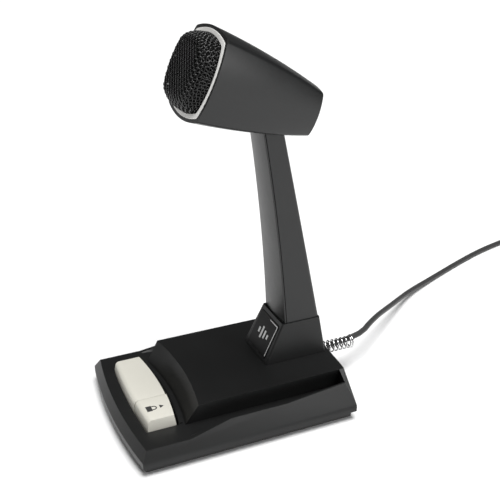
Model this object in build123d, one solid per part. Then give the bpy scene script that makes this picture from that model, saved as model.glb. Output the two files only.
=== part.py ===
# Desktop paging microphone: a weighted base with a talk bar and a lock slide, a leaning stem on a
# pedestal, a tapered head with a wire grille, and a free cord with a round plug on its end.
# Millimetres. Origin: centre of the base on the surface it stands on. -Y is the talker's side,
# +Y the cord's side, +X the talker's right and +Z up.
from build123d import *
import math
import os

os.makedirs("parts", exist_ok=True)

# ---- driving dimensions ----
base_width = 110.0
base_length = 146.4
front_tip = -base_length / 2
rear_tip = base_length / 2
front_bow = 4.4             # how far the base's front edge bows out
rear_bow = 2.6
foot_height = 1.2           # rubber feet show this much below the base plate
housing_bottom = 6.0
belt_top = 10.0             # top of the base's upright edge band
deck_height = 16.0
console_height = 29.0
side_lean = 0.54            # sloped sides: inward run per mm of rise
front_lean = 0.65
rear_lean = 0.147
wall = 2.4                  # moulded walls of the base

console_width = 78.6
console_front = front_tip + 48.4    # middle of the console's top front edge
console_bow = 4.0           # how far that edge's ends come forward of its middle
console_front_run = 8.3     # the concave front face runs out this far at the deck
console_undercut = 1.8      # the console's side walls lean out going up
shoulder_lean = 0.61        # drop per mm of the shoulder facet beside the console
groove_end = rear_tip - 7.7         # rear end of each finger groove
skirt_wall = 1.2
skirt_start = front_tip + 35.2      # the skirt's top edge leaves the deck here,
skirt_knee = front_tip + 61.2       # is level from here
skirt_rise = rear_tip - 48.2        # to here, and climbs again to the shoulder
skirt_knee_rise = 5.0
corner_top = 4.9            # each rear corner is cut by a plane through three points,
corner_knee = 7.8           # this far ahead of the base's rear tip: at the console's top,
corner_foot = 2.3           # at the shoulder and at the top of the edge band

key_length = 71.0           # talk bar and lock cap together, along X
key_split = 12.4            # the gap between them is this far right of the middle
key_front = front_tip + 11.8        # middle of the key's front edge
key_rear = front_tip + 33.9         # middle of its rear edge
key_front_bow = 1.5
key_rear_bow = 3.0
key_top = 22.8
key_taper = 10.0            # lean of the key's sides above the deck, in degrees
key_gap = 0.4               # clearance between the key and its well
part_gap = 0.2              # gap between talk bar and lock cap
press_travel = 2.5
lock_travel = 1.2
lock_offset = 0.6           # the lock cap sits this much further back than the talk bar

post_radius = 2.0           # guide posts of the talk bar
post_spacing = 44.0
slide_clearance = 0.1

pedestal_top = 55.0
pedestal_top_width = 30.5
pedestal_foot_width = 34.4
pedestal_front_top = rear_tip - 36.0
pedestal_front_foot = rear_tip - 48.5
pedestal_rear_foot = rear_tip - 5.6
pedestal_rear_top = rear_tip - 9.8
badge_thickness = 0.8

stem_height = 186.0         # top end of the stem, inside the head
stem_wall = 2.0
cover_thickness = 1.4       # front cover strip of the stem

head_front = (0.0, rear_tip - 83.3, 216.1)   # centre of the head's opening
head_tilt = 24.0            # the opening faces up by this much
opening_width = 55.0
opening_height = 53.0
head_rear = (0.0, rear_tip - 18.5, 189.3)    # centre of the head's rear end
head_rear_tilt = 20.7
rear_width = 40.0
rear_height = 30.0
head_wall = 2.2
ring_width = 2.4
ring_depth = 3.0
grille_depth = 9.5
grille_wall = 0.9

cord_diameter = 4.0
exit_height = 20.0
relief_outer = 9.0          # outer diameter of the chrome strain relief coil
relief_wire = 1.1
relief_pitch = 2.8
relief_turns = 11
coil_across = 46.0          # stored coil, across the middle of its turns
coil_columns = 5            # turns side by side in its lower layer, one fewer in its upper one
coil_centre = (-96.0, 363.0)
tail_angle = 60.0           # where round the coil the cord leaves it for the plug
tail_length = 30.0

# ---- worked out from them ----
plate_floor = 2.0
plate_top = foot_height + plate_floor
plate_inset = wall + 0.3


def bow_radius(chord, bow):
    return ((chord / 2) ** 2 + bow ** 2) / (2 * bow)


def disc(x, y, z, radius, height):
    return Pos(x, y, z + height / 2) * Cylinder(radius, height)


def block(x0, x1, y0, y1, z0, z1):
    return Pos((x0 + x1) / 2, (y0 + y1) / 2, (z0 + z1) / 2) * Box(x1 - x0, y1 - y0, z1 - z0)


def both_sides(solid):
    return solid + mirror(solid, Plane.YZ)


def turned(points, y):
    """A solid turned from an outline of (radius, height) points about an upright axis at y."""
    outline = Plane.XZ * make_face(Polyline(*points, close=True))
    return Pos(0, y, 0) * revolve(outline, Axis.Z)


def prism_along_y(points, y0, y1):
    outline = Plane.XZ * make_face(Polyline(*points, close=True))
    return Pos(0, y1, 0) * extrude(outline, amount=y1 - y0)


def prism_along_x(points, x0, x1):
    outline = Plane.YZ * make_face(Polyline(*points, close=True))
    return Pos(x0, 0, 0) * extrude(outline, amount=x1 - x0)


def save(name, shape):
    export_step(shape, "parts/" + name + ".step")


# ---- base housing ----
def base_block(inset, bottom, top):
    """The base's outer form, with walls moved in by inset, between two heights."""
    half = base_width / 2 - inset
    rise = console_height - belt_top
    sides = [(-half, bottom), (half, bottom), (half, belt_top),
             (half - side_lean * rise, console_height), (-half + side_lean * rise, console_height),
             (-half, belt_top)]
    body = prism_along_y(sides, front_tip - 5, rear_tip + 5)
    front_r = bow_radius(base_width, front_bow) - inset
    rear_r = bow_radius(base_width, rear_bow) - inset
    front = turned([(0, bottom), (front_r, bottom), (front_r, belt_top),
                    (front_r - front_lean * rise, console_height), (0, console_height)],
                   front_tip + inset + front_r)
    rear = turned([(0, bottom), (rear_r, bottom), (rear_r, belt_top),
                   (rear_r - rear_lean * rise, console_height), (0, console_height)],
                  rear_tip - inset - rear_r)
    slab = block(-base_width, base_width, -base_length, base_length, bottom, top)
    return body & front & rear & slab


def ahead_of_console(inset, floor):
    """Everything in front of the console's concave front face, above floor."""
    radius = bow_radius(console_width, console_bow) + inset
    foot = radius - console_front_run * (console_height - floor) / (console_height - deck_height)
    top = console_height + 5
    lift = console_front_run * 5 / (console_height - deck_height)
    return turned([(0, floor), (foot, floor), (radius + lift, top), (0, top)],
                  console_front + inset - radius)


def skirt_x(z):
    return base_width / 2 - side_lean * (z - belt_top)


shoulder_x = (base_width / 2 - side_lean * (console_height - belt_top)
              - side_lean * shoulder_lean * console_width / 2) / (1 - side_lean * shoulder_lean)
shoulder_z = console_height - shoulder_lean * (shoulder_x - console_width / 2)


def groove():
    """One finger groove beside the console, open at the front and closed by a rib at the rear."""
    half = console_width / 2
    top = console_height + 2
    lean = console_undercut * (top - deck_height) / (console_height - deck_height)
    wall_top = half - console_undercut + lean
    wall_foot = half - console_undercut
    knee_z = deck_height + skirt_knee_rise

    def section(y, floor_end, floor, ridge_z):
        ridge = skirt_x(ridge_z) - skirt_wall
        return make_face(Polyline((wall_top, y, top), (wall_foot, y, floor), (floor_end, y, floor),
                                  (ridge, y, ridge_z), (ridge, y, top), close=True))
    ahead = section(skirt_start - 4, half + 10.0, deck_height, deck_height + 0.2)
    knee = section(skirt_knee, half + 5.0, deck_height, knee_z)
    rise = section(skirt_rise, half + 4.3, deck_height, knee_z)
    end = section(groove_end, half + 3.5, deck_height, shoulder_z)
    return (loft([ahead, knee], ruled=True) + loft([knee, rise], ruled=True)
            + loft([rise, end], ruled=True))


def above_skirt():
    """What is cut away above one side's rising skirt edge."""
    top = console_height + 3
    outline = [(skirt_start - 45, deck_height), (skirt_start, deck_height),
               (skirt_knee, deck_height + skirt_knee_rise), (skirt_rise, deck_height + skirt_knee_rise),
               (groove_end, shoulder_z), (groove_end, top), (skirt_start - 45, top)]
    return prism_along_x(outline, console_width / 2 + 4.0, base_width)


def above_shoulder():
    half = console_width / 2
    far = base_width / 2 + 5
    drop = shoulder_lean * (far - half)
    return prism_along_y([(half, console_height), (far, console_height - drop),
                          (far, console_height + 3), (half, console_height + 3)],
                         front_tip - 5, rear_tip + 5)


def beyond_rear_corner():
    """What is cut off one rear corner: everything past the plane through its three points."""
    top = Vector(console_width / 2, rear_tip - corner_top, console_height)
    knee = Vector(shoulder_x, rear_tip - corner_knee, shoulder_z)
    foot = Vector(base_width / 2, rear_tip - corner_foot, belt_top)
    facet = Plane(origin=knee, z_dir=(knee - top).cross(foot - knee))
    return facet * Pos(0, 0, base_width / 2) * Box(base_width, base_width, base_width)


def key_outline(gap):
    """Plan of the talk bar and lock cap, grown by gap all round."""
    half = key_length / 2 + gap
    front = key_front - gap
    rear = key_rear + gap
    edge = (Line((-half, rear - key_rear_bow), (-half, front + key_front_bow))
            + ThreePointArc((-half, front + key_front_bow), (0, front), (half, front + key_front_bow))
            + Line((half, front + key_front_bow), (half, rear - key_rear_bow))
            + ThreePointArc((half, rear - key_rear_bow), (0, rear), (-half, rear - key_rear_bow)))
    return make_face(edge)


lip_height = 0.8
lip_width = 2.2
lip_gap = 1.2


def key_lip():
    """The low raised lip behind the key, along the console's foot."""
    radius = bow_radius(console_width, console_bow) - console_front_run - lip_gap
    centre = console_front - bow_radius(console_width, console_bow)
    band = turned([(radius - lip_width, deck_height - 1), (radius, deck_height - 1),
                   (radius, deck_height + lip_height), (radius - lip_width, deck_height + lip_height)],
                  centre)
    reach = block(-key_length / 2, key_length / 2, front_tip, 0, deck_height - 1, console_height)
    return band & reach


boss_radius = 3.6
boss_places = [(x, y) for x in (-42.0, 42.0) for y in (front_tip + 23.2, rear_tip - 20.2)]
screw_radius = 1.5
thread_radius = 1.4
pedestal_screw_places = [(-10.0, rear_tip - 30.2), (10.0, rear_tip - 30.2), (0.0, rear_tip - 13.2)]
lead_hole_radius = 5.0
lead_hole_y = rear_tip - 21.2
relief_hole_radius = relief_outer / 2 + 0.15


def base_housing():
    shell = base_block(0, housing_bottom, console_height) - ahead_of_console(0, deck_height)
    shell += key_lip() - key_well(deck_height - 2, 8)
    cuts = groove() + above_skirt() + above_shoulder() + beyond_rear_corner()
    shell -= both_sides(cuts)
    deck_hollow = base_block(wall, housing_bottom - 1, deck_height - wall)
    half = console_width / 2 - console_undercut - wall
    console_hollow = base_block(wall, housing_bottom - 1, console_height - wall)
    console_hollow &= block(-half, half, front_tip, rear_tip, 0, console_height)
    console_hollow -= ahead_of_console(wall, deck_height - wall)
    shell -= deck_hollow + console_hollow
    shell -= key_well(deck_height - wall - 1, wall + 6)
    for x, y in boss_places:
        shell += disc(x, y, plate_top, boss_radius, deck_height - wall / 2 - plate_top)
        shell -= disc(x, y, plate_top - 1, thread_radius, 9.0)
    for x, y in pedestal_screw_places:
        shell -= disc(x, y, console_height - wall - 1, screw_radius + 0.2, wall + 2)
    shell -= disc(0, lead_hole_y, console_height - wall - 1, lead_hole_radius, wall + 2)
    shell -= Pos(0, rear_tip, exit_height) * Rot(90, 0, 0) * Cylinder(relief_hole_radius, 20)
    return shell


def key_well(bottom, height):
    """The space that the key moves in: the lock cap's end is longer by its offset and travel."""
    well = Pos(0, 0, bottom) * extrude(key_outline(key_gap), height)
    lock_end = Pos(0, lock_offset + lock_travel, 0) * well
    return well + (lock_end & right_of(key_split - key_gap))


def right_of(x):
    return block(x, base_width, -base_length, 0, 0, 60)


# ---- base plate, feet, ballast ----
foot_radius = 6.0
foot_places = [(x, y) for x in (-43.0, 43.0) for y in (front_tip + 11.2, rear_tip - 10.2)]
foot_recess = 0.8
plate_lip = 3.0             # the plate's rim goes this far up inside the housing
screw_head_radius = 2.8
screw_head_height = 1.2
guide_foot = 1.6
guide_size = (60.0, 17.0)
guide_y = (key_front + key_rear) / 2
board_size = (56.0, 30.0, 1.6)
board_y = rear_tip - 39.2
ballast_front = guide_y + guide_size[1] / 2 + 13.85
ballast_rear = board_y - board_size[1] / 2 - 7.0
ballast_size = (62.0, ballast_rear - ballast_front, 6.0)
ballast_y = (ballast_front + ballast_rear) / 2
ballast_screw_x = 24.0


def bottom_plate():
    tray = base_block(plate_inset, foot_height, housing_bottom + plate_lip)
    tray -= base_block(plate_inset + 1.6, plate_top, housing_bottom + plate_lip + 1)
    for x, y in boss_places:
        tray -= disc(x, y, 0, screw_radius + 0.2, 8)
        tray -= disc(x, y, 0, screw_head_radius + 0.2, foot_height + screw_head_height)
    for x, y in foot_places:
        tray -= disc(x, y, 0, foot_radius + 0.05, foot_height + foot_recess)
    return tray


def rubber_feet():
    feet = []
    for x, y in foot_places:
        foot = disc(x, y, 0, foot_radius, foot_height + foot_recess)
        foot = chamfer(foot.edges().group_by(Axis.Z)[0], 0.4)
        feet.append(foot)
    return Compound(children=feet)


def pan_screw(x, y, head_bottom, length, radius=screw_radius, head=screw_head_radius):
    """A pan-head screw pointing up, its head's underside at head_bottom."""
    screw = disc(x, y, head_bottom, head, screw_head_height)
    screw += disc(x, y, head_bottom + screw_head_height, radius - 0.1, length)
    slot = block(x - head, x + head, y - 0.35, y + 0.35, head_bottom - 1, head_bottom + 0.6)
    return screw - slot


def screw_down(x, y, seat, length, radius=screw_radius, head=screw_head_radius):
    """A pan-head screw pointing down, its head standing on seat."""
    screw = disc(x, y, seat, head, screw_head_height)
    screw += disc(x, y, seat - length, radius - 0.1, length)
    top = seat + screw_head_height
    slot = block(x - head, x + head, y - 0.35, y + 0.35, top - 0.6, top + 1)
    return screw - slot


def base_screws():
    return Compound(children=[pan_screw(x, y, foot_height, 8.0) for x, y in boss_places])


def ballast_plate():
    length, depth, height = ballast_size
    slab = block(-length / 2, length / 2, ballast_y - depth / 2, ballast_y + depth / 2,
                 plate_top, plate_top + height)
    slab = chamfer(slab.edges().filter_by(Axis.Z), 4.0)
    for side in (-1, 1):
        slab -= disc(side * ballast_screw_x, ballast_y, 0, screw_radius, 20)
    return slab


def ballast_screws():
    seat = plate_top + ballast_size[2]
    return Compound(children=[screw_down(side * ballast_screw_x, ballast_y, seat, ballast_size[2])
                              for side in (-1, 1)])


# ---- talk bar and lock slide ----
cap_wall = 1.8
end_wall = 1.6              # walls where the talk bar and the lock cap meet
cap_bottom = deck_height - wall - 0.4


def key_solid():
    """The whole key before it is split: an upright lower part and a slightly drafted top."""
    lower = Pos(0, 0, cap_bottom) * extrude(key_outline(0), deck_height + 0.6 - cap_bottom)
    rise = key_top - deck_height - 0.6
    upper = Pos(0, 0, deck_height + 0.6) * extrude(key_outline(0), rise, taper=key_taper)
    return lower + upper


def key_hollow():
    height = key_top - cap_wall - cap_bottom + 1
    return Pos(0, 0, cap_bottom - 1) * extrude(key_outline(-cap_wall - 1.0), height)


shelf_thickness = 1.6
sleeve_drop = 2.0           # the guide sleeves reach this far below the shelf
post_top = cap_bottom + 1.2
shelf_bottom = cap_bottom - shelf_thickness
sleeve_bottom = shelf_bottom - sleeve_drop


def talk_bar():
    end = key_split - part_gap / 2
    bar = key_solid() - key_hollow() - right_of(end)
    bar += block(end - end_wall, end, key_front + 2.6, key_rear - 2.6, cap_bottom, key_top - 1)
    # carrier shelf that passes under the lock cap, with its two guide sleeves
    bar += block(-key_length / 2 + 4, key_length / 2 - 4, guide_y - 6.5, guide_y + 5.0,
                 shelf_bottom, cap_bottom)
    bar += block(-key_length / 2 + 4, key_split - 2, guide_y - 1, guide_y + 1, shelf_bottom, key_top - 1)
    bore_top = post_top + press_travel + 0.6
    for side in (-1, 1):
        x = side * post_spacing / 2
        bar += disc(x, guide_y, sleeve_bottom, post_radius + 1.5, cap_bottom + 1.4 - sleeve_bottom)
        bar -= disc(x, guide_y, 0, post_radius + slide_clearance, bore_top)
    return bar


def lock_slide():
    start = key_split + part_gap / 2
    cap = (key_solid() - key_hollow()) & right_of(start)
    cap += block(start, start + end_wall, key_front + 2.6, key_rear - 2.8, cap_bottom, key_top - 1)
    cap -= block(0, base_width, key_front - 2, key_rear + 2, cap_bottom - 1, cap_bottom + slide_clearance)
    return Pos(0, lock_offset, 0) * cap


# ---- guide, springs, switch ----
guide_screw_x = 12.7
spring_outer = 6.4
spring_bottom = plate_top + guide_foot
spring_top = sleeve_bottom
switch_size = (13.0, 8.0, 5.2)
plunger_radius = 1.5
plunger_gap = 0.05          # from the plunger's top to the bar's shelf
plunger_length = 5.0


def bar_guide():
    plate = block(-guide_size[0] / 2, guide_size[0] / 2, guide_y - guide_size[1] / 2,
                  guide_y + guide_size[1] / 2, plate_top, plate_top + guide_foot)
    for side in (-1, 1):
        plate += disc(side * post_spacing / 2, guide_y, plate_top, post_radius, post_top - plate_top)
        plate -= disc(side * guide_screw_x, guide_y, 0, screw_radius, 10)
    half_x = switch_size[0] / 2 + slide_clearance
    half_y = switch_size[1] / 2 + slide_clearance
    return plate - block(-half_x, half_x, guide_y - half_y, guide_y + half_y, 0, 10)


def return_springs():
    height = spring_top - spring_bottom
    springs = []
    for side in (-1, 1):
        tube = disc(side * post_spacing / 2, guide_y, spring_bottom, spring_outer / 2, height)
        tube -= disc(side * post_spacing / 2, guide_y, spring_bottom - 1, post_radius + 0.15, height + 2)
        springs.append(tube)
    return Compound(children=springs)


def guide_screws():
    seat = plate_top + guide_foot
    return Compound(children=[screw_down(side * guide_screw_x, guide_y, seat, guide_foot)
                              for side in (-1, 1)])


def switch_body():
    length, depth, height = switch_size
    body = block(-length / 2, length / 2, guide_y - depth / 2, guide_y + depth / 2,
                 plate_top, plate_top + height)
    return body - disc(0, guide_y, plate_top + 0.6, plunger_radius + slide_clearance, height)


def switch_plunger():
    top = shelf_bottom - plunger_gap
    return disc(0, guide_y, top - plunger_length, plunger_radius, plunger_length)


def switch_lugs():
    """Three solder lugs standing out of the switch's rear side."""
    rear = guide_y + switch_size[1] / 2
    low = plate_top + guide_foot + 0.4
    return Compound(children=[block(x - 0.6, x + 0.6, rear, rear + 4.0, low, low + 0.4)
                              for x in (-4.0, 0.0, 4.0)])


# ---- circuit board ----
standoff_height = 4.0
standoff_radius = 2.6
board_bottom = plate_top + standoff_height
board_top = board_bottom + board_size[2]
board_screw_places = [(x, y) for x in (-24.0, 24.0) for y in (board_y - 11.5, board_y + 11.5)]


def board_standoffs():
    posts = []
    for x, y in board_screw_places:
        posts.append(disc(x, y, plate_top, standoff_radius, standoff_height)
                     - disc(x, y, plate_top, 1.0, standoff_height))
    return Compound(children=posts)


def circuit_board():
    length, depth, _ = board_size
    board = block(-length / 2, length / 2, board_y - depth / 2, board_y + depth / 2,
                  board_bottom, board_top)
    for x, y in board_screw_places:
        board -= disc(x, y, 0, 1.0, 30)
    return board


def board_screws():
    return Compound(children=[screw_down(x, y, board_top, board_size[2] + 2.4, 1.1, 2.2)
                              for x, y in board_screw_places])


def output_transformer():
    core = block(-23, -9, board_y - 6, board_y + 6, board_top, board_top + 10)
    coil = block(-20, -12, board_y - 8, board_y + 8, board_top + 1.5, board_top + 8.5)
    return core + coil


def capacitors():
    sizes = ((3.0, 2.5, 9.0), (9.5, 3.0, 11.0), (16.5, 2.5, 9.0))
    return Compound(children=[disc(x, board_y - 6, board_top, radius, height)
                              for x, radius, height in sizes])


terminal_y = board_y + 10.0


def terminal_strip():
    strip = block(-10, 10, terminal_y - 3.0, terminal_y + 3.0, board_top, board_top + 6.0)
    for x in (-7.5, -2.5, 2.5, 7.5):
        strip -= disc(x, terminal_y, board_top + 4.0, 1.4, 3.0)
    return strip


# ---- pedestal and badge ----
def section_at(z, front, rear, half):
    return make_face(Polyline((-half, front, z), (half, front, z), (half, rear, z), (-half, rear, z),
                              close=True))


pedestal_wall = 2.4
pedestal_ceiling = pedestal_top - 3.0


def between(low, high, share):
    return low + (high - low) * share


def pedestal_section(z, inset=0.0):
    share = (z - console_height) / (pedestal_top - console_height)
    return section_at(z, between(pedestal_front_foot, pedestal_front_top, share) + inset,
                      between(pedestal_rear_foot, pedestal_rear_top, share) - inset,
                      between(pedestal_foot_width, pedestal_top_width, share) / 2 - inset)


slope_run = pedestal_front_top - pedestal_front_foot
slope_rise = pedestal_top - console_height
slope_length = math.hypot(slope_run, slope_rise)
badge_width = 26.0
badge_height = 23.6
badge_plane = Plane(origin=(0, (pedestal_front_foot + pedestal_front_top) / 2,
                            (console_height + pedestal_top) / 2),
                    x_dir=(1, 0, 0), z_dir=(0, -slope_rise / slope_length, slope_run / slope_length))
badge_sunk = 0.5


def badge(grow, low, high):
    plate = RectangleRounded(badge_width + 2 * grow, badge_height + 2 * grow, 1.0 + grow)
    return badge_plane * Pos(0, 0, low) * extrude(plate, high - low)


def pedestal():
    body = loft([pedestal_section(console_height), pedestal_section(pedestal_top)], ruled=True)
    edges = body.edges().filter_by(lambda e: abs(e.center().Z - (console_height + pedestal_top) / 2) < 3)
    body = fillet(edges, 1.2)
    body -= loft([pedestal_section(console_height - 0.01, pedestal_wall),
                  pedestal_section(pedestal_ceiling, pedestal_wall)], ruled=True)
    body -= badge(0.1, -badge_sunk, 3)
    for x, y in pedestal_screw_places:
        body += disc(x, y, console_height, boss_radius, pedestal_ceiling - console_height)
        body -= disc(x, y, console_height, thread_radius, 9)
    for x in (-stem_screw_x, stem_screw_x):
        body -= disc(x, stem_screw_y, pedestal_ceiling - 1, screw_radius, 10)
    return body - disc(0, lead_hole_y, console_height, lead_hole_radius, 40)


def badge_plate():
    return badge(0, -badge_sunk, badge_thickness - badge_sunk)


def pedestal_screws():
    seat = console_height - wall - screw_head_height
    return Compound(children=[pan_screw(x, y, seat, 9.0) for x, y in pedestal_screw_places])


# ---- stem ----
stem_screw_x = 8.6
stem_screw_y = rear_tip - 22.7
stem_floor = 3.0


def stem_front(z):
    rise = (z - 120) / 100
    return rear_tip - 39.8 - 11.3 * rise - 3.9 * rise ** 2


def stem_rear(z):
    rise = (z - 120) / 100
    return rear_tip - 22.5 - 19.7 * rise - 0.44 * rise ** 2


def stem_half(z):
    return 12.3 - 3.4 * (z - 120) / 100


def shell_section(z, inset, front, corner=2.6):
    half = stem_half(z) - inset
    rear = stem_rear(z) - inset
    bend = corner * (1 - math.sqrt(0.5))
    edge = (Line((-half, front, z), (half, front, z)) + Line((half, front, z), (half, rear - corner, z))
            + ThreePointArc((half, rear - corner, z), (half - bend, rear - bend, z),
                            (half - corner, rear, z))
            + Line((half - corner, rear, z), (corner - half, rear, z))
            + ThreePointArc((corner - half, rear, z), (bend - half, rear - bend, z),
                            (-half, rear - corner, z))
            + Line((-half, rear - corner, z), (-half, front, z)))
    return make_face(edge)


def heights(low, high):
    return [low + (high - low) * step / 4 for step in range(5)]


def stem_shell():
    outer = loft([shell_section(z, 0, stem_front(z) + cover_thickness)
                  for z in heights(pedestal_top, stem_height)])
    inner = loft([shell_section(z, stem_wall, stem_front(z) + cover_thickness - 0.5, 1.4)
                  for z in heights(pedestal_top + stem_floor, stem_height - stem_floor)])
    shell = outer - inner
    shell -= disc(0, lead_hole_y, pedestal_top - 1, lead_hole_radius - 1, stem_floor + 2)
    shell -= disc(0, top_lead_y, stem_height - stem_floor - 1, 2.4, stem_floor + 2)
    for x in (-stem_screw_x, stem_screw_x):
        shell -= disc(x, stem_screw_y, pedestal_top - 1, thread_radius, stem_floor + 2)
    for x in (-bracket_screw_x, bracket_screw_x):
        shell -= disc(x, top_lead_y, stem_height - stem_floor - 1, 1.0, stem_floor + 2)
    return shell


seam_gap = 0.4
cover_bow = 1.0


def cover_section(z, inset, depth_from, depth_to, bow):
    half = stem_half(z) - inset
    front = stem_front(z) + depth_from
    rear = stem_front(z) + depth_to
    edge = (ThreePointArc((-half, front, z), (0, front - bow, z), (half, front, z))
            + Line((half, front, z), (half, rear, z)) + Line((half, rear, z), (-half, rear, z))
            + Line((-half, rear, z), (-half, front, z)))
    return make_face(edge)


cover_top = 181.0


def stem_cover():
    levels = heights(pedestal_top, cover_top)
    face = loft([cover_section(z, 0, 0, cover_thickness - seam_gap, cover_bow) for z in levels])
    tongue = loft([cover_section(z, 0.6, 0.2, cover_thickness, 0.1) for z in levels])
    return face + tongue


def stem_screws():
    seat = pedestal_ceiling - screw_head_height
    return Compound(children=[pan_screw(x, stem_screw_y, seat, pedestal_top + stem_floor - pedestal_ceiling)
                              for x in (-stem_screw_x, stem_screw_x)])


# ---- head ----
opening_bow = (4.5, 3.8)    # sides, then top and bottom
rear_end_bow = (3.0, 2.5)
middle_share = 0.42
middle_swell = 1.4
head_corner = 3.2


def head_plane(share):
    tilt = math.radians(between(head_tilt, head_rear_tilt, share))
    centre = [between(a, b, share) for a, b in zip(head_front, head_rear)]
    return Plane(origin=tuple(centre), x_dir=(1, 0, 0), z_dir=(0, -math.cos(tilt), math.sin(tilt)))


def bowed_face(width, height, bow, corner):
    side, top = bow
    x = width / 2 - side
    y = height / 2 - top
    edge = (ThreePointArc((-x, -y), (0, -height / 2), (x, -y))
            + ThreePointArc((x, -y), (width / 2, 0), (x, y))
            + ThreePointArc((x, y), (0, height / 2), (-x, y))
            + ThreePointArc((-x, y), (-width / 2, 0), (-x, -y)))
    face = make_face(edge)
    return fillet(face.vertices(), corner)


def head_section(share, inset, swell=0.0):
    width = between(opening_width, rear_width, share) - 2 * inset + 2 * swell
    height = between(opening_height, rear_height, share) - 2 * inset + 2 * swell
    bow = [between(a, b, share) for a, b in zip(opening_bow, rear_end_bow)]
    return head_plane(share) * bowed_face(width, height, bow, max(head_corner - inset / 2, 1.5))


def head_form(start, end, inset):
    return loft([head_section(start, inset), head_section(middle_share, inset, middle_swell),
                 head_section(end, inset)])


rim_width = 1.9
ring_proud = 0.3
ring_seat = ring_depth - ring_proud
front_plane = head_plane(0)


def at_front(inset, low, high):
    """A slab with the opening's outline, between two distances out of the opening's plane."""
    face = bowed_face(opening_width - 2 * inset, opening_height - 2 * inset, opening_bow,
                      max(head_corner - inset / 2, 1.5))
    return front_plane * Pos(0, 0, low) * extrude(face, high - low)


def head_axis_disc(radius, low, high):
    return front_plane * Pos(0, 0, (low + high) / 2) * Cylinder(radius, high - low)


bracket_screw_x = 6.0
top_lead_y = rear_tip - 42.6
boss_y = rear_tip - 28.2
bracket_thickness = 1.6
stem_fit = 0.1


def head_shell():
    shell = head_form(0, 1, 0)
    hollow = head_form(-0.03, 0.965, head_wall)
    shell -= hollow
    shell -= at_front(rim_width, -ring_seat, 5)
    bosses = disc(-bracket_screw_x, boss_y, 170, 3.0, stem_height - 170)
    bosses += disc(bracket_screw_x, boss_y, 170, 3.0, stem_height - 170)
    shell += bosses & head_form(0, 1, head_wall / 2)
    for x in (-bracket_screw_x, bracket_screw_x):
        shell -= disc(x, boss_y, stem_height - 5, 1.0, 6)
    foot = loft([shell_section(z, -stem_fit, stem_front(z) - cover_bow - 2 * stem_fit, 2.6)
                 for z in (165, 178, stem_height + 0.02)])
    return shell - foot


def accent_ring():
    return at_front(rim_width, -ring_seat, ring_proud) - at_front(rim_width + ring_width, -5, 5)


grille_inset = rim_width + ring_width + 0.1
grille_lean = 2.6           # the dome is this much smaller all round at its face
grille_round = 6.5


def dome(inset, low, high, rounding):
    size = (opening_width - 2 * grille_inset - 2 * inset, opening_height - 2 * grille_inset - 2 * inset)
    foot = bowed_face(size[0], size[1], opening_bow, 8.0)
    face = bowed_face(size[0] - 2 * grille_lean, size[1] - 2 * grille_lean, opening_bow, 8.0)
    body = loft([front_plane * Pos(0, 0, low) * foot, front_plane * Pos(0, 0, high) * face], ruled=True)
    front_edges = body.faces().sort_by(Axis(front_plane.origin, front_plane.z_dir))[-1].edges()
    return fillet(front_edges, rounding)


def grille():
    return (dome(0, -ring_seat, grille_depth, grille_round)
            - dome(grille_wall, -ring_seat - 1, grille_depth - grille_wall, grille_round - grille_wall))


foam_gap = 0.6


def foam_screen():
    return dome(grille_wall + foam_gap, -ring_seat + 0.3, grille_depth - grille_wall - foam_gap,
                grille_round - grille_wall)


capsule_radius = 14.0
mount_radius = 16.4
baffle_thickness = 2.0
baffle_front = -ring_seat


def baffle():
    inset = head_wall + 0.6
    return (at_front(inset, baffle_front - baffle_thickness, baffle_front)
            - head_axis_disc(mount_radius, baffle_front - 5, baffle_front + 1))


def capsule_mount():
    return (head_axis_disc(mount_radius, baffle_front - 8, baffle_front)
            - head_axis_disc(capsule_radius, baffle_front - 9, baffle_front + 1))


def mic_capsule():
    body = head_axis_disc(capsule_radius, baffle_front - 9, baffle_front)
    return body + head_axis_disc(8.0, baffle_front - 17, baffle_front - 9)


def head_bracket():
    front = stem_front(stem_height) + 3
    plate = block(-9, 9, front, boss_y + 4, stem_height, stem_height + bracket_thickness)
    plate -= disc(0, top_lead_y, stem_height - 1, 2.4, bracket_thickness + 2)
    for x in (-bracket_screw_x, bracket_screw_x):
        plate -= disc(x, top_lead_y, stem_height - 1, 1.2, bracket_thickness + 2)
        plate -= disc(x, boss_y, stem_height - 1, 1.2, bracket_thickness + 2)
    return plate


def bracket_screws():
    seat = stem_height + bracket_thickness
    return Compound(children=[screw_down(x, y, seat, bracket_thickness + 2.6, 1.1, 2.2)
                              for x in (-bracket_screw_x, bracket_screw_x) for y in (top_lead_y, boss_y)])


# ---- leads and cord ----
def cord_tube(points, radius, label):
    """Straight runs joined by the largest arcs they allow, and the radii printed."""
    spots = [Vector(*p) for p in points]
    radii = []
    for before, here, after in zip(spots, spots[1:], spots[2:]):
        turn = math.radians((here - before).get_angle(after - here))
        shorter = min((here - before).length, (after - here).length)
        radii.append(0.45 * shorter / math.tan(turn / 2))
    path = FilletPolyline(*spots, radius=radii)
    start = Plane(origin=path @ 0, z_dir=path % 0)
    tube = sweep(start * Circle(radius), path=path)
    print(label, "length", round(path.length, 1), "arcs", [round(r) for r in radii],
          "volume ratio", round(tube.volume / (math.pi * radius ** 2 * path.length), 4))
    return tube


lead_radius = 1.4
lead_route = [(64.3, 207.6), (52.2, 202.5), (43.0, 189.0), (36.6, 152.0), (30.8, 120.0), (26.0, 88.0),
              (22.2, 60.0), (21.6, 36.0), (25.7, 17.2)]      # ahead of the rear tip, and height
lead_points = [(0, rear_tip - ahead, height) for ahead, height in lead_route]


def head_lead():
    return cord_tube(lead_points, lead_radius, "head_lead")


clamp_front = rear_tip - 17.2
clamp_rear = rear_tip - 9.2
clamp_half = 9.0
clamp_headroom = 0.4        # above the clamp's screws, under the console's roof
clamp_cap_height = console_height - wall - clamp_headroom - screw_head_height - exit_height
clamp_screw_x = 6.0
cord_radius = cord_diameter / 2


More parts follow.
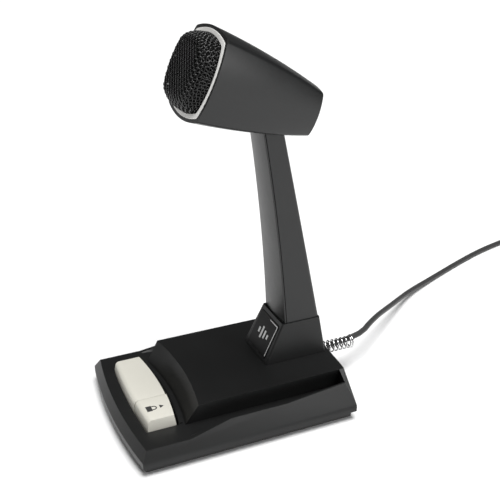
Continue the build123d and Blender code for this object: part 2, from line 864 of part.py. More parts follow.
def cord_clamp():
    post = block(-clamp_half, clamp_half, clamp_front, clamp_rear, plate_top, exit_height)
    for side in (-1, 1):
        post -= disc(side * clamp_screw_x, (clamp_front + clamp_rear) / 2, exit_height - 6, 1.0, 6)
    return post - cord_bore()


def clamp_cap():
    cap = block(-clamp_half, clamp_half, clamp_front, clamp_rear,
                exit_height, exit_height + clamp_cap_height)
    cap = chamfer(cap.edges().filter_by(Axis.Y).sort_by(Axis.Z)[-2:], 1.5)
    for side in (-1, 1):
        cap -= disc(side * clamp_screw_x, (clamp_front + clamp_rear) / 2, exit_height - 1, 1.2, 10)
    return cap - cord_bore()


def cord_bore():
    return Pos(0, (clamp_front + clamp_rear) / 2, exit_height) * Rot(90, 0, 0) * Cylinder(cord_radius, 20)


def clamp_screws():
    seat = exit_height + clamp_cap_height
    middle = (clamp_front + clamp_rear) / 2
    return Compound(children=[screw_down(side * clamp_screw_x, middle, seat, 10.0, 1.1, 2.2)
                              for side in (-1, 1)])


relief_mean = (relief_outer - relief_wire) / 2


def strain_relief():
    length = relief_pitch * relief_turns
    coil = Helix(relief_pitch, length, relief_mean)
    wire = sweep(Plane(origin=coil @ 0, z_dir=coil % 0) * Circle(relief_wire / 2), path=coil)
    return Pos(0, clamp_rear + relief_wire / 2, exit_height) * Rot(-90, 0, 0) * wire


cord_points = [(0, rear_tip - 23.2, exit_height), (0, rear_tip + 27.8, exit_height),
               (-21, 126, 17), (-44, 157.5, 10.4), (-68, 188.5, 4.4), (-84, 222, 2), (-99, 258, 2),
               (-111, 290, 2), (-119, 321.5, 2), (-126.3, 356.5, 2)]


def cord():
    return cord_tube(cord_points, cord_radius, "cord")


def cord_coil():
    """The stored length, as the ring that its turns fill: two layers lying on the surface."""
    half = coil_columns * cord_diameter / 2
    mean = coil_across / 2
    height = cord_diameter * (1 + math.sqrt(0.75))
    low = half - cord_diameter / 2
    ring = make_face(Polyline((mean - half, 0), (mean + half, 0), (mean + half, cord_radius),
                              (mean + low, height), (mean - low, height), (mean - half, cord_radius),
                              close=True))
    ring = revolve(Plane.XZ * ring, Axis.Z)
    return Pos(coil_centre[0], coil_centre[1], 0) * ring


plug_radius = 7.5
plug_shell_length = 30.0
boot_length = 22.0
nose_radius = 6.6
nose_length = 11.0
nose_wall = 0.6
pin_radius = 0.75
pin_circle = 3.9
tail_radius = coil_across / 2 + (coil_columns - 1) * cord_diameter / 2 - cord_diameter / 2
tail_heading = math.radians(tail_angle - 90)
tail_plane = Plane(origin=(coil_centre[0] + tail_radius * math.cos(math.radians(tail_angle)),
                           coil_centre[1] + tail_radius * math.sin(math.radians(tail_angle)),
                           plug_radius),
                   x_dir=(0, 0, 1), z_dir=(math.cos(tail_heading), math.sin(tail_heading), 0))


def along_tail(radius, start, end, end_radius=None):
    """A round piece about the plug's axis, between two distances from the coil."""
    length = end - start
    if end_radius is None:
        piece = Cylinder(radius, length)
    else:
        piece = Cone(radius, end_radius, length)
    return tail_plane * Pos(0, 0, (start + end) / 2) * piece


boot_start = tail_length
shell_start = boot_start + boot_length
nose_start = shell_start + plug_shell_length


def cord_tail():
    return along_tail(cord_radius, 0, boot_start)


def plug_boot():
    return along_tail(cord_radius + 0.8, boot_start, shell_start, plug_radius - 1.5)


def plug_shell():
    shell = along_tail(plug_radius, shell_start, nose_start)
    shell = chamfer(shell.edges().filter_by(GeomType.CIRCLE), 0.8)
    return shell - along_tail(nose_radius, nose_start - 8, nose_start + 1)


def plug_nose():
    tube = along_tail(nose_radius, nose_start - 8, nose_start + nose_length)
    return tube - along_tail(nose_radius - nose_wall, nose_start - 9, nose_start + nose_length + 1)


def pin_place(index):
    turn = math.radians(-90 + 45 * index)
    return Pos(pin_circle * math.cos(turn), pin_circle * math.sin(turn), 0)


def plug_insert():
    insert = along_tail(nose_radius - nose_wall, nose_start - 8, nose_start + 1.5)
    return insert - pins_along(nose_start - 5, nose_start + 2)


def pins_along(start, end):
    pins = [tail_plane * pin_place(index) * Pos(0, 0, (start + end) / 2) * Cylinder(pin_radius, end - start)
            for index in range(5)]
    return Compound(children=pins)


def plug_pins():
    return pins_along(nose_start - 5, nose_start + nose_length - 1)


save("base_housing", base_housing())
save("bottom_plate", bottom_plate())
save("rubber_feet", rubber_feet())
save("base_screws", base_screws())
save("ballast_plate", ballast_plate())
save("ballast_screws", ballast_screws())
save("talk_bar", talk_bar())
save("lock_slide", lock_slide())
save("bar_guide", bar_guide())
save("return_springs", return_springs())
save("guide_screws", guide_screws())
save("switch_body", switch_body())
save("switch_plunger", switch_plunger())
save("switch_lugs", switch_lugs())
save("board_standoffs", board_standoffs())
save("circuit_board", circuit_board())
save("board_screws", board_screws())
save("output_transformer", output_transformer())
save("capacitors", capacitors())
save("terminal_strip", terminal_strip())
save("pedestal", pedestal())
save("badge_plate", badge_plate())
save("pedestal_screws", pedestal_screws())
save("stem_shell", stem_shell())
save("stem_cover", stem_cover())
save("stem_screws", stem_screws())
save("head_shell", head_shell())
save("accent_ring", accent_ring())
save("grille", grille())
save("foam_screen", foam_screen())
save("baffle", baffle())
save("capsule_mount", capsule_mount())
save("mic_capsule", mic_capsule())
save("head_bracket", head_bracket())
save("bracket_screws", bracket_screws())
save("head_lead", head_lead())
save("cord_clamp", cord_clamp())
save("clamp_cap", clamp_cap())
save("clamp_screws", clamp_screws())
save("strain_relief", strain_relief())
save("cord", cord())
save("cord_coil", cord_coil())
save("cord_tail", cord_tail())
save("plug_boot", plug_boot())
save("plug_shell", plug_shell())
save("plug_nose", plug_nose())
save("plug_insert", plug_insert())
save("plug_pins", plug_pins())
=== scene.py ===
import math

import bmesh
import bpy
from mathutils import Matrix, Vector
from mathutils.bvhtree import BVHTree


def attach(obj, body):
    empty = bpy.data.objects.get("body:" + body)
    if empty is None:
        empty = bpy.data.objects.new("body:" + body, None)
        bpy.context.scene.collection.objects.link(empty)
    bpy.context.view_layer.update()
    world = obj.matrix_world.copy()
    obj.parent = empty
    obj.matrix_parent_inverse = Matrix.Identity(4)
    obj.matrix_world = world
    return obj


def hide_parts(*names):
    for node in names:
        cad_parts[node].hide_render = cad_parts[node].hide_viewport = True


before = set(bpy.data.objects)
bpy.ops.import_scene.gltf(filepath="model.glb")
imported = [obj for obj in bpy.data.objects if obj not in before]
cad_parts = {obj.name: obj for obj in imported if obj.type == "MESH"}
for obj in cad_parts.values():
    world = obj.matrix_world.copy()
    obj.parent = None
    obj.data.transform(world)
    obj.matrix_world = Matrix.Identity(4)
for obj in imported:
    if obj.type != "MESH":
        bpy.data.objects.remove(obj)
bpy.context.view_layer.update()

mm = 0.001
print("frame loaded,", len(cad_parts), "nodes")


def millimetres(points):
    return [Vector(p) * mm for p in points]


# camera
viewpoint = {
    "aim": (0, 0.0214, 0.1035),
    "azimuth": 66.46,  # degrees round from the front
    "elevation": 25.67,
    "distance": 0.5234,
    "lens": 61.67,
}


def makeCamera():
    turn = math.radians(viewpoint["azimuth"])
    lift = math.radians(viewpoint["elevation"])
    back = Vector((math.sin(turn) * math.cos(lift), -math.cos(turn) * math.cos(lift), math.sin(lift)))
    lens = bpy.data.cameras.new("deskCamera")
    lens.lens = viewpoint["lens"]
    lens.sensor_width = 36
    camera = bpy.data.objects.new("deskCamera", lens)
    bpy.context.collection.objects.link(camera)
    camera.location = Vector(viewpoint["aim"]) + back * viewpoint["distance"]
    camera.rotation_euler = back.to_track_quat("Z", "Y").to_euler()
    bpy.context.scene.camera = camera


makeCamera()


# cord: the laid route, then the stored length wound into a flat coil of two layers
cordRun = {
    "radius": 2 * mm,
    "route": [(0, 50, 20), (0, 101, 20), (-20, 126, 20), (-44, 157.5, 12), (-68, 188.5, 4.4),
              (-84, 222, 2), (-99, 258, 2), (-111, 290, 2), (-119, 321.5, 2)],
    "coilCentre": (-96, 363),
    "startAngle": 192,  # where the route meets the outer turn, degrees
    "outerTurn": 31,
    "turnPitch": 4,
    "lowerTurns": 4,
    "riseTurns": 0.5,
    "allTurns": 8.3667,
    "upperOuterTurn": 29,
    "lowerHeight": 2,
    "upperHeight": 5.8,
    "risePower": 0.6,
    "stepsPerTurn": 16,
    "plugHeight": 7.5,
    "tailAngle": 60,
    "tailLength": 33,
    "startDip": 1.2,  # the tail climbs to the plug's height from this far below it
    "middleShare": 0.4,
    "middleDip": 0.3,
}


def coilPoints():
    c = cordRun
    swell = 1 / math.cos(math.pi / c["stepsPerTurn"])  # the spline cuts inside its points by this
    innerTurn = c["outerTurn"] - c["turnPitch"] * c["lowerTurns"]
    points = []
    for step in range(int(c["allTurns"] * c["stepsPerTurn"]) + 1):
        turns = step / c["stepsPerTurn"]
        outward = c["upperOuterTurn"] - c["turnPitch"] * (c["allTurns"] - turns)
        if turns <= c["lowerTurns"]:
            radius, height = c["outerTurn"] - c["turnPitch"] * turns, c["lowerHeight"]
        else:
            risen = min(1, (turns - c["lowerTurns"]) / c["riseTurns"])
            radius = max(innerTurn, outward)
            height = c["lowerHeight"] + (c["upperHeight"] - c["lowerHeight"]) * risen ** c["risePower"]
        angle = math.radians(c["startAngle"] - 360 * turns)
        points.append((c["coilCentre"][0] + radius * swell * math.cos(angle),
                       c["coilCentre"][1] + radius * swell * math.sin(angle), height))
    return points


def plugAxis():
    # where the cord leaves the coil, at the plug's height, and the way that it goes
    c = cordRun
    angle = math.radians(c["tailAngle"])
    along = Vector((math.sin(angle), -math.cos(angle), 0))
    leave = Vector((c["coilCentre"][0] + c["upperOuterTurn"] * math.cos(angle),
                    c["coilCentre"][1] + c["upperOuterTurn"] * math.sin(angle), c["plugHeight"]))
    return leave, along


def tailPoints():
    c = cordRun
    leave, along = plugAxis()
    return [leave - Vector((0, 0, c["startDip"])),
            leave + along * c["tailLength"] * c["middleShare"] - Vector((0, 0, c["middleDip"])),
            leave + along * c["tailLength"]]


def tubeCurve(name, runs, radius, sides=5, along=5, caps=True):
    curve = bpy.data.curves.new(name, "CURVE")
    curve.dimensions = "3D"
    curve.bevel_depth = radius
    curve.bevel_resolution = sides
    curve.resolution_u = along
    curve.use_fill_caps = caps
    for points in runs:
        spline = curve.splines.new("NURBS")
        spline.points.add(len(points) - 1)
        for spot, place in zip(spline.points, millimetres(points)):
            spot.co = (*place, 1)
        spline.order_u = 3
        spline.use_endpoint_u = True
    tube = bpy.data.objects.new(name, curve)
    bpy.context.collection.objects.link(tube)
    return tube


cordPoints = cordRun["route"] + coilPoints() + tailPoints()
cordPiece = tubeCurve("cordJacket", [cordPoints], cordRun["radius"])
print("cord laid")


# handling of objects
def pick(piece):
    bpy.ops.object.select_all(action="DESELECT")
    piece.select_set(True)
    bpy.context.view_layer.objects.active = piece


def startEdit(piece, kind="EDGE"):
    pick(piece)
    bpy.ops.object.mode_set(mode="EDIT")
    bpy.ops.mesh.select_mode(type=kind)
    bpy.ops.mesh.select_all(action="DESELECT")
    return bmesh.from_edit_mesh(piece.data)


def endEdit(piece):
    bmesh.update_edit_mesh(piece.data)
    bpy.ops.object.mode_set(mode="OBJECT")


merging = {"near": 0.000002, "flat": 0.4}  # metres between doubled points, degrees between flat faces


def copyOf(node, name):
    piece = bpy.data.objects.new(name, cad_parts[node].data.copy())
    bpy.context.collection.objects.link(piece)
    startEdit(piece)
    bpy.ops.mesh.select_all(action="SELECT")
    bpy.ops.mesh.remove_doubles(threshold=merging["near"])
    bpy.ops.mesh.customdata_custom_splitnormals_clear()
    bpy.ops.mesh.dissolve_limited(angle_limit=math.radians(merging["flat"]))
    endEdit(piece)
    return piece


def roundEdges(piece, width, segments, chosen, sharp=30):
    mesh = startEdit(piece)
    for edge in mesh.edges:
        if len(edge.link_faces) == 2 and edge.calc_face_angle() > math.radians(sharp):
            if chosen((edge.verts[0].co + edge.verts[1].co) / 2 / mm):
                edge.select_set(True)
    bmesh.update_edit_mesh(piece.data)
    bpy.ops.mesh.bevel(offset=width * mm, offset_type="OFFSET", segments=segments, affect="EDGES",
                       clamp_overlap=True)
    endEdit(piece)


def smooth(piece, angle=32):
    pick(piece)
    bpy.ops.object.shade_smooth_by_angle(angle=math.radians(angle))


crispShape = {"angle": 50, "weight": 80}


def crisp(piece):
    # the large flat faces stay flat and only the rounded edges turn
    smooth(piece, crispShape["angle"])
    bpy.ops.object.modifier_add(type="WEIGHTED_NORMAL")
    piece.modifiers[-1].keep_sharp = True
    piece.modifiers[-1].weight = crispShape["weight"]
    bpy.ops.object.modifier_apply(modifier=piece.modifiers[-1].name)


def join(pieces, name):
    bpy.ops.object.select_all(action="DESELECT")
    for piece in pieces:
        piece.select_set(True)
    bpy.context.view_layer.objects.active = pieces[0]
    bpy.ops.object.join()
    pieces[0].name = name
    return pieces[0]


def toMesh(piece):
    pick(piece)
    bpy.ops.object.convert(target="MESH")
    return piece


def settle(piece):
    pick(piece)
    bpy.ops.object.transform_apply(location=True, rotation=True, scale=True)


# shader arithmetic
class Wire:
    def __init__(self, finish, socket):
        self.finish, self.socket = finish, socket

    def maths(self, kind, first, second):
        return self.finish.node("Math", {"operation": kind}, {0: first, 1: second})

    def __add__(self, other):
        return self.maths("ADD", self, other)

    def __mul__(self, other):
        return self.maths("MULTIPLY", self, other)

    def __sub__(self, other):
        return self.maths("SUBTRACT", self, other)

    def __rsub__(self, other):
        return self.maths("SUBTRACT", other, self)

    __radd__, __rmul__ = __add__, __mul__


class Finish:
    def __init__(self, name, **constants):
        self.material = bpy.data.materials.new(name)
        self.material.use_nodes = True
        self.tree = self.material.node_tree
        self.shader = self.tree.nodes["Principled BSDF"]
        for key, value in constants.items():
            self.shader.inputs[key.replace("_", " ")].default_value = value

    def feed(self, socket, value):
        if isinstance(value, Wire):
            self.tree.links.new(value.socket, socket)
        else:
            socket.default_value = value

    def node(self, kind, settings=None, sockets=None, out=0):
        made = self.tree.nodes.new("ShaderNode" + kind)
        for key, value in (settings or {}).items():
            setattr(made, key, value)
        for key, value in (sockets or {}).items():
            self.feed(made.inputs[key], value)
        return Wire(self, made.outputs[out])

    def place(self):
        return self.node("TexCoord", out="Object")

    def noise(self, size, detail=2, roughness=0.5):
        sockets = {"Vector": self.place(), "Scale": 1 / (size * mm), "Detail": detail,
                   "Roughness": roughness}
        return self.node("TexNoise", {}, sockets, "Fac")

    def blendColours(self, amount, first, second):
        return self.node("Mix", {"data_type": "RGBA"}, {0: amount, 6: first, 7: second}, 2)

    def set(self, socket, value):
        self.feed(self.shader.inputs[socket], value)

    def bump(self, height, depth):
        self.set("Normal", self.node("Bump", {}, {"Height": height, "Distance": depth * mm, "Strength": 1}))


def shade(level, tint=(1, 1, 1)):
    return (level * tint[0], level * tint[1], level * tint[2], 1)


# moulded plastic: fine grain in the surface, faint mottling in tone and gloss
def mouldedPlastic(name, dark, pale, gloss, grain=0.34, grainDepth=0.012, tint=(1, 1, 1), sheen=0.5):
    finish = Finish(name, Specular_IOR_Level=sheen)
    mottle = finish.noise(26, 3)
    speckle = finish.noise(0.9, 2)
    tone = mottle * 0.7 + speckle * 0.3
    finish.set("Base Color", finish.blendColours(tone, shade(dark, tint), shade(pale, tint)))
    finish.set("Roughness", mottle * 0.1 + speckle * 0.05 + (gloss - 0.075))
    finish.bump(finish.noise(grain, 3, 0.6), grainDepth)
    return finish.material


def metal(name, level, gloss, tint=(1, 1, 1), brushed=0.5):
    finish = Finish(name, Metallic=1.0)
    tarnish = finish.noise(6, 4)
    scratch = finish.noise(brushed, 2)
    finish.set("Base Color", finish.blendColours(tarnish, shade(level * 0.9, tint), shade(level, tint)))
    finish.set("Roughness", tarnish * 0.12 + scratch * 0.06 + (gloss - 0.09))
    finish.bump(scratch, 0.003)
    return finish.material


def foamed(name, level):
    finish = Finish(name, Roughness=0.95)
    cells = finish.noise(0.8, 3, 0.7)
    finish.set("Base Color", finish.blendColours(cells, shade(level * 0.4), shade(level)))
    finish.bump(cells, 0.3)
    return finish.material


finishes = {
    "black_moulding": mouldedPlastic("blackMoulding", 0.004, 0.007, 0.4, tint=(0.97, 1.02, 1.02),
                                     sheen=0.42),
    "black_plate": mouldedPlastic("blackPlate", 0.008, 0.012, 0.5),
    "rubber": mouldedPlastic("footRubber", 0.012, 0.02, 0.75, grain=0.8, grainDepth=0.03),
    "screw_steel": metal("screwSteel", 0.32, 0.35),
    "plated_steel": metal("platedSteel", 0.55, 0.3),
    "cream_plastic": mouldedPlastic("creamPlastic", 0.6, 0.66, 0.4, tint=(1.0, 0.975, 0.87), sheen=0.35),
    "spring_steel": metal("springSteel", 0.5, 0.3),
    "brass": metal("brass", 0.6, 0.3, tint=(1.0, 0.78, 0.42)),
    "board": mouldedPlastic("circuitBoard", 0.05, 0.08, 0.4, tint=(0.4, 1.0, 0.5)),
    "gloss_black": mouldedPlastic("glossBlack", 0.004, 0.006, 0.3, grain=3, grainDepth=0.004, sheen=0.12),
    "off_white_ring": mouldedPlastic("ringWhite", 0.84, 0.9, 0.35, tint=(1.0, 0.99, 0.96)),
    "black_mesh": mouldedPlastic("meshBlack", 0.002, 0.004, 0.24, grain=0.3, grainDepth=0.01, sheen=0.5),
    "foam": foamed("foam", 0.012),
    "lead_jacket": mouldedPlastic("leadJacket", 0.03, 0.05, 0.5),
    "chrome_wire": metal("chromeWire", 0.78, 0.16),
    "cord_jacket": mouldedPlastic("cordGrey", 0.03, 0.045, 0.45, grain=0.5, grainDepth=0.02, sheen=0.4),
}
# painted light: the same black plastic as the base moulding, painted a little paler and glossier for the
# head and stem, which stand higher in the light; the base keeps the darker, painted-shade copy
litCopyBlack = mouldedPlastic("litCopyBlack", 0.006, 0.009, 0.38, tint=(0.96, 1.02, 1.03), sheen=0.5)
markInk = mouldedPlastic("markInk", 0.03, 0.04, 0.5)
lineWhite = mouldedPlastic("lineWhite", 0.7, 0.78, 0.4)
print("finishes made")


def finishPiece(piece, slot, body="base", replaced=(), material=None):
    piece.data.materials.clear()
    piece.data.materials.append(material or finishes[slot])
    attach(piece, body)
    if replaced:
        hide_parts(*replaced)
    return piece


# base housing, its edges eased
housingShape = {"edge": 0.45, "deck": 15.5, "side": 53.6, "end": 68}


def makeHousing():
    piece = copyOf("base_housing", "baseHousing")
    h = housingShape
    roundEdges(piece, h["edge"], 2,
               lambda m: m.z > h["deck"] or abs(m.x) > h["side"] or abs(m.y) > h["end"])
    crisp(piece)
    finishPiece(piece, "black_moulding", replaced=["base_housing"])


makeHousing()
print("housing done")

# pedestal, stem and head: copies with eased edges
eased = [
    ("pedestal", "pedestalBlock", "black_moulding", 0.35, lambda m: True),
    ("stem_shell", "stemShell", "black_moulding", 0.4, lambda m: True),
    ("stem_cover", "stemCover", "black_moulding", 0.35, lambda m: True),
    ("head_shell", "headShell", "black_moulding", 0.3, lambda m: m.z > 185),
    ("accent_ring", "trimRing", "off_white_ring", 0.25, lambda m: True),
    ("badge_plate", "badgePlate", "gloss_black", 0.2, lambda m: True),
    ("bottom_plate", "bottomPlate", "black_plate", 0.25, lambda m: m.z < 3.4),
]
# the stem shell, stem cover and head shell take the paler, painted-light copy of the black plastic
paintedLighter = ("stem_shell", "stem_cover", "head_shell")
for node, name, slot, width, chosen in eased:
    piece = copyOf(node, name)
    roundEdges(piece, width, 2, chosen)
    crisp(piece)
    finishPiece(piece, slot, replaced=[node], material=litCopyBlack if node in paintedLighter else None)
print("pedestal, stem and head done")

# talk bar and lock cap
keyShape = {"edge": 0.9, "frontEdge": 2.2, "segments": 4, "low": 17.5, "top": 22, "front": -56}
for node, name, body in (("talk_bar", "talkBar", "talk_bar"), ("lock_slide", "lockCap", "lock_slide")):
    piece = copyOf(node, name)
    k = keyShape
    roundEdges(piece, k["frontEdge"], k["segments"] + 2, lambda m: m.z > k["top"] and m.y < k["front"])
    roundEdges(piece, k["edge"], k["segments"], lambda m: m.z > k["low"] and m.y > k["front"])
    smooth(piece, 40)
    finishPiece(piece, "cream_plastic", body, [node])
print("key done")

# grille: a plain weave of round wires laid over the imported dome
weave = {
    "pitch": 1.9,
    "wire": 0.86,
    "rise": 0.4,  # how far a wire swings over and under the ones it crosses
    "wires": 15,  # on each side of the middle one
    "centre": (0, -10.1, 216.1),
    "tilt": 24,
    "high": 30,
    "lowest": 0.4,  # wires end this far behind the opening's plane
    "march": 0.45,  # step of the walk out from the middle
    "refine": 5,
    "sink": 0.1,
    "straighten": 0.3,
}


def domeMap():
    # where the weave's crossings lie: arc lengths out from the middle, over the dome
    w = weave
    tilt = math.radians(w["tilt"])
    out = Vector((0, -math.cos(tilt), math.sin(tilt)))
    up = Vector((0, math.sin(tilt), math.cos(tilt)))
    side = Vector((1, 0, 0))
    centre = Vector(w["centre"])
    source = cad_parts["grille"].data
    tree = BVHTree.FromPolygons([v.co / mm for v in source.vertices],
                                [p.vertices[:] for p in source.polygons])

    def height(a, b):
        hit = tree.ray_cast(centre + side * a + up * b + out * w["high"], -out)[0]
        return None if hit is None else (hit - centre).dot(out)

    middle = height(0, 0)

    def spot(u, v):
        reach = math.hypot(u, v)
        if reach < 0.001:
            return centre + out * middle
        du, dv = u / reach, v / reach
        gone, flat, level = 0, 0, middle
        while gone < reach:
            step = min(w["march"], reach - gone)
            run = step
            nextLevel = height(du * (flat + run), dv * (flat + run))
            for trial in range(w["refine"]):
                if nextLevel is None:
                    return None
                drop = nextLevel - level
                run *= step / math.hypot(run, drop)
                nextLevel = height(du * (flat + run), dv * (flat + run))
            if nextLevel is None or nextLevel < -w["lowest"]:
                return None
            flat, level, gone = flat + run, nextLevel, gone + step
        return centre + side * du * flat + up * dv * flat + out * level
    return spot, out


def makeWeave():
    w = weave
    spot, out = domeMap()
    half = w["wires"] * 2
    grid = {}
    for i in range(-half, half + 1):
        for j in range(-half, half + 1):
            if i % 2 == 0 or j % 2 == 0:
                grid[i, j] = spot(i * w["pitch"] / 2, j * w["pitch"] / 2)
    print("weave mapped")
    tubes = []
    for lane in range(-half, half + 1, 2):
        for crosswise in (0, 1):
            run = []
            for step in range(-half, half + 1):
                key = (step, lane) if crosswise else (lane, step)
                place = grid[key]
                if place is None:
                    continue
                before = grid.get((key[0] - crosswise, key[1] - 1 + crosswise)) or place
                after = grid.get((key[0] + crosswise, key[1] + 1 - crosswise)) or place
                along = after - before
                across = Vector((0, 0, 1)).cross(along) if crosswise else Vector((1, 0, 0))
                normal = along.cross(across).normalized() if along.length > 0.001 else out
                if normal.dot(out) < 0:
                    normal = -normal
                if crosswise:
                    normal = (normal + out * w["straighten"]).normalized()
                swing = 0
                if step % 2 == 0:
                    swing = w["rise"] * (1 if (step // 2 + lane // 2 + crosswise) % 2 else -1)
                run.append(place + normal * (w["wire"] / 2 + swing - w["sink"]))
            if len(run) > 3:
                tubes.append(run)
    piece = toMesh(tubeCurve("grilleWeave", tubes, w["wire"] / 2 * mm, sides=1, along=2, caps=False))
    smooth(piece, 80)
    finishPiece(piece, "black_mesh", replaced=["grille"])
    print("weave made,", len(tubes), "wires,", len(piece.data.polygons), "faces")


makeWeave()

# spring-wire strain relief round the cord where it leaves the housing
springShape = {"wire": 1.15, "coil": 7.9, "pitch": 3.2, "turns": 11.5, "closed": 1.2, "start": 64.8,
               "height": 20, "perTurn": 16, "flare": 0.5, "touching": 1.02}


def makeSpring():
    p = springShape
    points = []
    along = p["start"]
    count = int(p["turns"] * p["perTurn"])
    for step in range(count + 1):
        turns = step / p["perTurn"]
        left = p["turns"] - turns
        closed = turns < p["closed"] or left < p["closed"]
        along += (p["wire"] * p["touching"] if closed else p["pitch"]) / p["perTurn"]
        angle = math.radians(360 * turns)
        radius = (p["coil"] / 2 + p["flare"] * max(0, 1 - left)) / math.cos(math.pi / p["perTurn"])
        points.append((radius * math.cos(angle), along, p["height"] + radius * math.sin(angle)))
    spring = toMesh(tubeCurve("springRelief", [points], p["wire"] / 2 * mm, sides=3, along=2))
    smooth(spring, 60)
    return finishPiece(spring, "chrome_wire", replaced=["strain_relief"])


springRelief = makeSpring()
print("spring made, ends at", springRelief.bound_box[6][1] / mm)

# plug: ribs round the rubber boot, and a fluted grip cut into the shell
plugShape = {
    "boot": 30,
    "bootLength": 22,
    "thin": 2.8,
    "thick": 6.0,
    "ribs": 6,
    "ribStep": 3.0,
    "firstRib": 4.0,
    "ribWidth": 1.6,
    "ribHeight": 0.6,
    "ribRound": 0.45,
    "flute": 0.18,
    "fluteDepth": -0.3,
    "gripRadius": 7.0,
    "gripFace": 8,  # square millimetres; the grip's faces are larger than this
}


def makeBoot():
    p = plugShape
    leave, along = plugAxis()
    up = Vector((0, 0, 1))
    turn = Matrix((up, along.cross(up), along)).transposed().to_4x4()
    parts = [copyOf("plug_boot", "plugBoot")]
    for index in range(p["ribs"]):
        reach = p["firstRib"] + p["ribStep"] * index
        radius = p["thin"] + (p["thick"] - p["thin"]) * reach / p["bootLength"] + p["ribHeight"]
        bpy.ops.mesh.primitive_cylinder_add(vertices=40, radius=radius * mm, depth=p["ribWidth"] * mm)
        rib = bpy.context.active_object
        roundEdges(rib, p["ribRound"], 3, lambda m: True, 60)
        rib.matrix_world = Matrix.Translation((leave + along * (p["boot"] + reach)) * mm) @ turn
        settle(rib)
        parts.append(rib)
    boot = join(parts, "plugBoot")
    smooth(boot, 40)
    return finishPiece(boot, "rubber", replaced=["plug_boot"])


def makeShell():
    p = plugShape
    leave, along = plugAxis()
    shell = copyOf("plug_shell", "plugShell")
    mesh = startEdit(shell, "FACE")
    for face in mesh.faces:
        off = face.calc_center_median() / mm - leave
        radius = (off - along * off.dot(along)).length
        flat = abs(face.normal.dot(along)) < 0.05
        if flat and radius > p["gripRadius"] and face.calc_area() / mm ** 2 > p["gripFace"]:
            face.select_set(True)
    bmesh.update_edit_mesh(shell.data)
    bpy.ops.mesh.inset(use_individual=True, thickness=p["flute"] * mm, depth=p["fluteDepth"] * mm)
    endEdit(shell)
    smooth(shell, 25)
    return finishPiece(shell, "gloss_black", replaced=["plug_shell"])


plugParts = [makeBoot(), makeShell()]
print("plug made")

# marks: thin raised prints, made of bars and rings
markShape = {"thick": 0.12, "sink": 0.04, "capTop": 22.8, "bowSteps": 16}


def flatBar(name, centre, size, turn=0):
    bpy.ops.mesh.primitive_cube_add(size=1)
    bar = bpy.context.active_object
    bar.name = name
    bar.scale = [part * mm for part in size]
    bar.rotation_euler = (0, 0, math.radians(turn))
    bar.location = Vector(centre) * mm
    settle(bar)
    return bar


def flatBow(name, centre, outer, inner, thick):
    # a small upright square spun half round the centre, on the side towards +Y
    bpy.ops.mesh.primitive_plane_add(size=1)
    ring = bpy.context.active_object
    ring.name = name
    ring.scale = ((outer - inner) * mm, thick * mm, 1)
    settle(ring)
    pick(ring)
    bpy.ops.object.mode_set(mode="EDIT")
    bpy.ops.mesh.select_all(action="SELECT")
    bpy.ops.transform.rotate(value=math.radians(90), orient_axis="X", center_override=(0, 0, 0))
    bpy.ops.transform.translate(value=((outer + inner) / 2 * mm, 0, 0))
    bpy.ops.transform.rotate(value=math.radians(-180), orient_axis="Z", center_override=(0, 0, 0))
    bpy.ops.mesh.spin(steps=markShape["bowSteps"], angle=math.pi, center=(0, 0, 0), axis=(0, 0, 1))
    bpy.ops.mesh.select_all(action="SELECT")
    bpy.ops.mesh.normals_make_consistent(inside=False)
    bpy.ops.object.mode_set(mode="OBJECT")
    ring.location = Vector(centre) * mm
    settle(ring)
    return ring


def makeLockMarks():
    # a padlock and a triangle that points the way the cap slides
    m = markShape
    z = m["capTop"] + m["thick"] / 2 - m["sink"]
    bars = [flatBar("lockBody", (23.2, -54.5, z), (5.2, 3.4, m["thick"])),
            flatBar("lockLegA", (21.6, -52.2, z), (0.75, 1.4, m["thick"])),
            flatBar("lockLegB", (24.8, -52.2, z), (0.75, 1.4, m["thick"])),
            flatBow("lockBow", (23.2, -51.6, z), 1.97, 1.22, m["thick"])]
    bpy.ops.mesh.primitive_cylinder_add(vertices=3, radius=1, depth=1)
    arrow = bpy.context.active_object
    arrow.scale = (1.9 * mm, 1.7 * mm, m["thick"] * mm)
    arrow.location = Vector((23.1, -47.0, z)) * mm
    settle(arrow)
    marks = join(bars + [arrow], "lockMarks")
    finishPiece(marks, "cream_plastic", "lock_slide", material=markInk)


makeLockMarks()

# badge: a white corner line and a row of level bars, all plain
badgeShape = {
    "thick": 0.16,
    "sink": 0.04,
    "inset": 1.3,
    "line": 0.5,
    "topRun": 0.45,  # share of the width that the upper line covers
    "bars": (3.6, 8.0, 5.6, 3.0),
    "barWidth": 1.8,
    "barStep": 3.8,
}


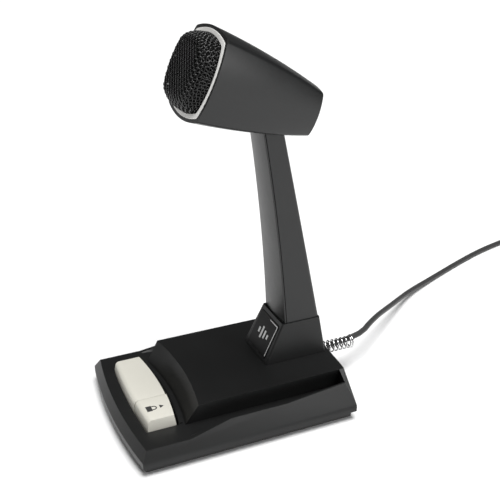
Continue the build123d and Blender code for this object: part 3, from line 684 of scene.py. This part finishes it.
def makeBadgeMarks():
    b = badgeShape
    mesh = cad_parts["badge_plate"].data
    face = max((p for p in mesh.polygons if p.normal.y < -0.3), key=lambda p: p.area)
    out = face.normal.copy()
    side = Vector((1, 0, 0))
    up = out.cross(side)
    middle = face.center.copy()
    spots = [v.co for v in mesh.vertices if abs((v.co - middle).dot(out)) < 0.00005]
    heights = [(spot - middle).dot(up) / mm for spot in spots]
    low, high = min(heights), max(heights)

    def reach(level):
        return max(spot.x / mm for spot, height in zip(spots, heights) if abs(height - level) < 1.5)

    wide = {"low": reach(low) - b["inset"], "high": reach(high) - b["inset"]}
    shift = Vector((0, middle.y, middle.z))
    ground = Matrix.Translation(shift) @ Matrix((side, up, out)).transposed().to_4x4()

    def bar(name, start, end, width):
        start, end = Vector(start), Vector(end)
        run = end - start
        turn = math.degrees(math.atan2(run.y, run.x))
        piece = flatBar(name, (0, 0, 0), (run.length, width, b["thick"]), turn)
        centre = (start + end) / 2
        piece.matrix_world = ground @ Matrix.Translation(
            Vector((centre.x, centre.y, b["thick"] / 2 - b["sink"])) * mm)
        settle(piece)
        return piece

    top = high - b["inset"]
    foot = low + b["inset"]
    topStart = wide["high"] * (1 - 2 * b["topRun"])
    parts = [bar("badgeTopLine", (topStart, top), (wide["high"], top), b["line"]),
             bar("badgeSideLine", (wide["high"], top + b["line"] / 2), (wide["low"], foot), b["line"])]
    for index, tall in enumerate(b["bars"]):
        x = (index - (len(b["bars"]) - 1) / 2) * b["barStep"]
        y = (low + high) / 2
        parts.append(bar("badgeBar", (x, y - tall / 2), (x, y + tall / 2), b["barWidth"]))
    marks = join(parts, "badgeMarks")
    finishPiece(marks, "off_white_ring", material=lineWhite)
    print("badge marks", round(low, 2), round(high, 2), wide)


makeBadgeMarks()
print("marks made")

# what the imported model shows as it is
for node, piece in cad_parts.items():
    if not piece.hide_render:
        for place in piece.material_slots:
            if place.material and place.material.name.split(".")[0] in finishes:
                place.material = finishes[place.material.name.split(".")[0]]
            else:
                print("no finish for", node, place.material and place.material.name)

# the cord, and the pieces on it
cordPiece.data.materials.append(finishes["cord_jacket"])
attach(cordPiece, "base")
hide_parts("cord", "cord_coil", "cord_tail")
plugRest = [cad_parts[node] for node in ("plug_nose", "plug_insert", "plug_pins")]
plugRest + plugParts + [springRelief]

# floor and light
studio = {
    "floorSize": 16,
    "floorTone": 0.9,
    "sky": 0.09,
    "sun": 3.7,
    "sunAngle": 40,
    "sunFrom": (0.12, 0.05, 0.99),
    "box": 2.2,
    "boxSize": 0.4,
    "boxPlace": (0.75, 0.36, 0.42),
    "boxAim": (0, 0.02, 0.21),
    "fill": 0.8,
    "fillSize": 0.35,
    "fillPlace": (-0.25, -0.8, 0.6),
    "fillAim": (0, 0, 0.2),
}


def makeStudio():
    bpy.ops.mesh.primitive_plane_add(size=studio["floorSize"])
    floor = bpy.context.active_object
    floor.name = "floor"
    paint = Finish("floorPaint", Roughness=0.9)
    paint.set("Base Color", shade(studio["floorTone"]))
    floor.data.materials.append(paint.material)
    world = bpy.data.worlds.new("studio")
    bpy.context.scene.world = world
    world.use_nodes = True
    world.node_tree.nodes["Background"].inputs["Strength"].default_value = studio["sky"]
    world.node_tree.nodes["Background"].inputs["Color"].default_value = (1, 1, 1, 1)
    lamp = bpy.data.lights.new("softSun", "SUN")
    lamp.energy = studio["sun"]
    lamp.angle = math.radians(studio["sunAngle"])
    sun = bpy.data.objects.new("softSun", lamp)
    bpy.context.collection.objects.link(sun)
    sun.rotation_euler = Vector(studio["sunFrom"]).to_track_quat("Z", "Y").to_euler()
    for name in ("box", "fill"):
        soft = bpy.data.lights.new(name, "AREA")
        soft.energy, soft.size = studio[name], studio[name + "Size"]
        panel = bpy.data.objects.new(name, soft)
        bpy.context.collection.objects.link(panel)
        panel.location = studio[name + "Place"]
        aim = Vector(studio[name + "Aim"])
        panel.rotation_euler = (panel.location - aim).to_track_quat("Z", "Y").to_euler()
    bpy.context.scene.view_settings.view_transform = "Standard"


makeStudio()
print("studio lit")
